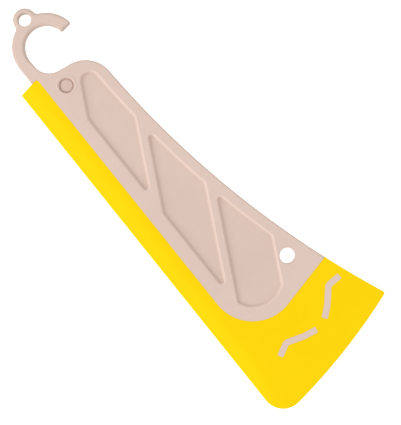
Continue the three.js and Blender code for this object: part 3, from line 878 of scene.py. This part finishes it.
def raise_relief(name, sheet, plan, material):
    """Runs a sheet through the relief tree, and returns the closed piece that comes out."""
    values = relief_values(plan)
    tree = bpy.data.node_groups.get("moulded_relief") or relief_tree(values)
    values["Material"] = material
    raw = bpy.data.objects.new(name + "_sheet", sheet.mesh(name + "_sheet"))
    bpy.context.scene.collection.objects.link(raw)
    modifier = raw.modifiers.new("relief", "NODES")
    modifier.node_group = tree
    for item in tree.interface.items_tree:
        if item.in_out == "INPUT" and item.name in values:
            modifier[item.identifier] = values[item.name]
    evaluated = raw.evaluated_get(bpy.context.evaluated_depsgraph_get())
    mesh = bpy.data.meshes.new_from_object(evaluated)
    bpy.data.objects.remove(raw)
    shell = bmesh.new()
    shell.from_mesh(mesh)
    bmesh.ops.recalc_face_normals(shell, faces=shell.faces)
    open_edges = sum(not edge.is_manifold for edge in shell.edges)
    shell.to_mesh(mesh)
    shell.free()
    if open_edges:
        raise RuntimeError(f"{name} isn't closed: {open_edges} open edges")
    mesh.name = name
    piece = bpy.data.objects.new(name, mesh)
    bpy.context.scene.collection.objects.link(piece)
    return piece


# ---- finishes

# Bands of painted light on the core: a painted highlight on the pocket rims, and painted shade
# on the pocket floors, at their feet, in the recess and in its groove. For each: what it follows,
# where it rises and where it falls, in millimetres inwards from a pocket's or the recess's rim.
CORE_PAINTED_LIGHT_BANDS = {"rim": ("pocket", (-0.55, -0.1), (0.3, 0.9)), "floor": ("pocket", (0.6, 1.6)),
              "foot": ("pocket", (0.6, 1.6), (1.2, 1.8)), "sunk": ("recess", (0, 0.3)),
              "groove": ("recess", (0, 0.4), (0.8, 1.3))}
# Where the painted shade along an edge ends, in roundings from the edge.
CORE_EDGE_SHADE, BLADE_EDGE_SHADE = (0.1, 1.3), (0.2, 1.3)

# Patches in the colour: size in millimetres, detail, and the noise where they start and end.
CORE_PATCHES = {"flow": (35, 3, 0.3, 0.75), "cloud": (6, 4, 0.25, 0.8),
                "speck": (1.1, 2, 0.3, 0.75)}
BLADE_PATCHES = {"bloom": (30, 3, 0.3, 0.8), "cloud": (5, 4, 0.25, 0.8)}

# How far each mask takes the colour from its lightest tone, 0, towards its darkest, 1.
# Flow, cloud, speck and bloom are the material's own uneven tone; floor, foot, sunk, groove
# and edge are painted shade, and rim, below 0, is a painted highlight.
CORE_TONE = 0.32
CORE_TONES = {"flow": 0.12, "cloud": 0.09, "speck": 0.05, "floor": 0.12, "foot": 0.4,
              "sunk": 0.35, "groove": 0.35, "edge": 0.35, "rim": -0.3, "pad": -0.18}
BLADE_TONES = {"bloom": 0.35, "cloud": 0.2, "edge": 0.3}

GRAIN_DETAIL, GRAIN_SHARPNESS = 3, 0.6
CLOUD_SIZE, CLOUD_DETAIL = 6 * MM, 4
CLOUD_HEIGHT = 0.6               # of the clouds in the bump, as a share of the grain's
# How much the clouds, the grain and the worn edges change the roughness.
CLOUD_CHANGE, GRAIN_CHANGE, WEAR_CHANGE = 0.12, 0.1, 0.1


def new_finish(name, roughness, gloss=0.5):
    """A material with a plain Principled shader; returns it, its graph and the shader."""
    material = bpy.data.materials.new(name)
    material.use_nodes = True
    shader = material.node_tree.nodes["Principled BSDF"]
    shader.inputs["Roughness"].default_value = roughness
    shader.inputs["Specular IOR Level"].default_value = gloss
    return material, Graph(material.node_tree), shader


def noise(graph, size, detail, sharpness=0.5):
    """Noise from 0 to 1 whose patches are about that size, on the object's own place."""
    place = graph.node("ShaderNodeTexCoord", output="Object")
    return graph.node("ShaderNodeTexNoise", {"Vector": place, "Scale": 1 / size,
                                             "Detail": detail, "Roughness": sharpness})


def patches(graph, kinds):
    """A mask for each kind of patch."""
    return {name: between(graph, noise(graph, size * MM, detail), low, high)
            for name, (size, detail, low, high) in kinds.items()}


def stored_value(graph, name):
    """A value that the sheet stored at its points, such as the distance into a pocket."""
    return graph.node("ShaderNodeAttribute", output="Fac", attribute_name=name)


def band(graph, name, rise, fall=None):
    """A mask that grows where a stored distance passes its rise, and ends at its fall."""
    low, high = (end * MM for end in rise)
    mask = between(graph, stored_value(graph, name), low, high)
    return mask * (1 - band(graph, name, fall)) if fall else mask


def coloured(graph, shader, tone, light, dark):
    """Colour that runs from a light one at tone 0 to a dark one at tone 1."""
    graph.feed(shader, "Base Color", graph.node(
        "ShaderNodeMix", {"Factor": tone, COLOUR_A: (*light, 1), COLOUR_B: (*dark, 1)},
        output=COLOUR_MIXED, data_type="RGBA"))


def grained(graph, shader, settings, roughness, wear, strength):
    """Spark-eroded grain in the bump and the roughness, a little smoother where it wears."""
    grain = noise(graph, settings.grain, GRAIN_DETAIL, GRAIN_SHARPNESS)
    cloud = noise(graph, CLOUD_SIZE, CLOUD_DETAIL)
    graph.feed(shader, "Roughness", roughness + (cloud - 0.5) * CLOUD_CHANGE
               + (grain - 0.5) * GRAIN_CHANGE - wear * WEAR_CHANGE)
    graph.feed(shader, "Normal", graph.node(
        "ShaderNodeBump", {"Height": grain + cloud * CLOUD_HEIGHT, "Strength": strength,
                           "Distance": settings.grain_height}))


def core_finish(settings):
    """Rigid plastic: flow marks, a painted highlight on the pocket rims, and painted shade along
    the edges, on the pocket floors and feet, and in the recess and its groove.
    """
    material, g, shader = new_finish("rigid_plastic", settings.core_roughness,
                                     settings.core_gloss)
    masks = patches(g, CORE_PATCHES)
    # Painted highlight on the pocket rims; painted shade on the pocket floors, at their feet, in
    # the recess and in its groove.
    masks |= {name: band(g, *steps) for name, steps in CORE_PAINTED_LIGHT_BANDS.items()}
    # Painted shade along the rounded edges; with the rim mask it also makes them a little smoother.
    masks["edge"] = 1 - between(g, stored_value(g, "reach"), *CORE_EDGE_SHADE)
    masks["pad"] = stored_value(g, "wedge")
    tone = sum((masks[name] * change for name, change in CORE_TONES.items()), CORE_TONE)
    coloured(g, shader, tone.math("MAXIMUM", 0.0), settings.core_colour, settings.core_shade)
    grained(g, shader, settings, settings.core_roughness, masks["edge"] + masks["rim"],
            settings.core_grain)
    return material


def blade_finish(settings):
    """Soft elastomer: an even strong colour with a faint bloom, painted shade along the edges, and
    smoother edges.
    """
    material, g, shader = new_finish("soft_elastomer", settings.blade_roughness,
                                     settings.blade_gloss)
    masks = patches(g, BLADE_PATCHES)
    # Painted shade along the blade's rounded edges, which the roughness also smooths.
    masks["edge"] = 1 - between(g, stored_value(g, "reach"), *BLADE_EDGE_SHADE)
    tone = sum(masks[name] * change for name, change in BLADE_TONES.items())
    coloured(g, shader, tone, settings.blade_colour, settings.blade_shade)
    grained(g, shader, settings, settings.blade_roughness, masks["edge"], settings.blade_grain)
    return material


# ---- operators

class SQUEEGEE_OT_core(bpy.types.Operator):
    """Make the rigid core: hook, eye, pocketed grip and the pads in the blade's windows"""
    bl_idname = "squeegee.core"
    bl_label = "Rigid Core"

    def execute(self, context):
        settings = context.scene.squeegee
        plan = Plan(settings)
        piece = raise_relief("core_moulding", core_sheet(plan), plan, core_finish(settings.finish))
        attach(piece, "handle")
        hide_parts("rigid_core")
        return {"FINISHED"}


class SQUEEGEE_OT_blade(bpy.types.Operator):
    """Make the soft blade that runs from the handle to the lip"""
    bl_idname = "squeegee.blade"
    bl_label = "Soft Blade"

    def execute(self, context):
        settings = context.scene.squeegee
        plan = Plan(settings)
        piece = raise_relief("soft_blade", blade_sheet(plan), plan, blade_finish(settings.finish))
        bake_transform(piece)
        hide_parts("blade_jacket", "blade_lip")
        return {"FINISHED"}


KEY_PLACE = Vector((-0.5, -1.6, 1.1))    # low, so that the walls catch the light
FLOOR_DROP = 0.2 * MM            # keeps the floor clear of the tool's lower face
FLOOR_ROUGHNESS = 0.8
NEAR_CLIP = 10 * MM


class SQUEEGEE_OT_stage(bpy.types.Operator):
    """Make the floor, the soft studio light and the camera"""
    bl_idname = "squeegee.stage"
    bl_label = "Stage"

    def execute(self, context):
        scene, s = context.scene, context.scene.squeegee.stage
        half = s.floor_size / 2
        corners = [(x * half, y * half, 0) for x, y in ((-1, -1), (1, -1), (1, 1), (-1, 1))]
        mesh = bpy.data.meshes.new("floor")
        mesh.from_pydata(corners, [], [(0, 1, 2, 3)])
        floor = bpy.data.objects.new("floor", mesh)
        floor.location.z = -FLOOR_DROP
        scene.collection.objects.link(floor)
        material, _, shader = new_finish("pale_floor", FLOOR_ROUGHNESS)
        shader.inputs["Base Color"].default_value = (*s.floor_colour, 1)
        shader.inputs["Emission Color"].default_value = (*s.floor_colour, 1)
        shader.inputs["Emission Strength"].default_value = s.floor_glow
        mesh.materials.append(material)
        # The lit floor would brighten the tool's walls and the insides of its holes.
        floor.visible_diffuse = floor.visible_glossy = False

        lamp = bpy.data.lights.new("key", "AREA")
        lamp.shape, lamp.size, lamp.energy = "SQUARE", s.key_size, s.key_power
        key = bpy.data.objects.new("key", lamp)
        scene.collection.objects.link(key)
        key.location = KEY_PLACE
        key.rotation_euler = (-KEY_PLACE).to_track_quat("-Z", "Y").to_euler()

        scene.world = bpy.data.worlds.new("studio")
        scene.world.use_nodes = True
        sky = scene.world.node_tree.nodes["Background"]
        sky.inputs["Color"].default_value = (1, 1, 1, 1)
        sky.inputs["Strength"].default_value = s.sky

        lens = bpy.data.cameras.new("camera")
        camera = bpy.data.objects.new("camera", lens)
        scene.collection.objects.link(camera)
        top = CAD_BOX[1][2]
        camera.location = (s.camera_x, s.camera_y, top + s.camera_height)
        camera.rotation_euler = (0, 0, s.camera_turn)
        lens.lens = lens.sensor_width * s.camera_height / s.view_height
        lens.clip_start = NEAR_CLIP
        scene.camera = camera
        scene.view_settings.view_transform = "Standard"
        return {"FINISHED"}


class SQUEEGEE_PT_panel(bpy.types.Panel):
    """Lists the squeegee's settings and operators in the sidebar"""
    bl_idname = "SQUEEGEE_PT_panel"
    bl_label = "Hand Squeegee"
    bl_space_type = "VIEW_3D"
    bl_region_type = "UI"
    bl_category = "Squeegee"

    def draw(self, context):
        settings = context.scene.squeegee
        for operator in OPERATORS:
            self.layout.operator(operator.bl_idname)
        for group in ("handle", "face", "blade", "finish", "stage"):
            box = self.layout.box()
            box.label(text=group.capitalize())
            values = getattr(settings, group)
            for name in values.__annotations__:
                box.prop(values, name)


OPERATORS = (SQUEEGEE_OT_core, SQUEEGEE_OT_blade, SQUEEGEE_OT_stage)
CLASSES = (SqueegeeHandle, SqueegeeFace, SqueegeeBlade, SqueegeeFinish, SqueegeeStage,
           SqueegeeSettings, *OPERATORS, SQUEEGEE_PT_panel)


def register():
    for cls in CLASSES:
        bpy.utils.register_class(cls)
    bpy.types.Scene.squeegee = PointerProperty(type=SqueegeeSettings)


def unregister():
    del bpy.types.Scene.squeegee
    for cls in reversed(CLASSES):
        bpy.utils.unregister_class(cls)


def main():
    register()
    bpy.ops.squeegee.stage()
    bpy.ops.squeegee.core()
    bpy.ops.squeegee.blade()


if __name__ == "__main__":
    main()
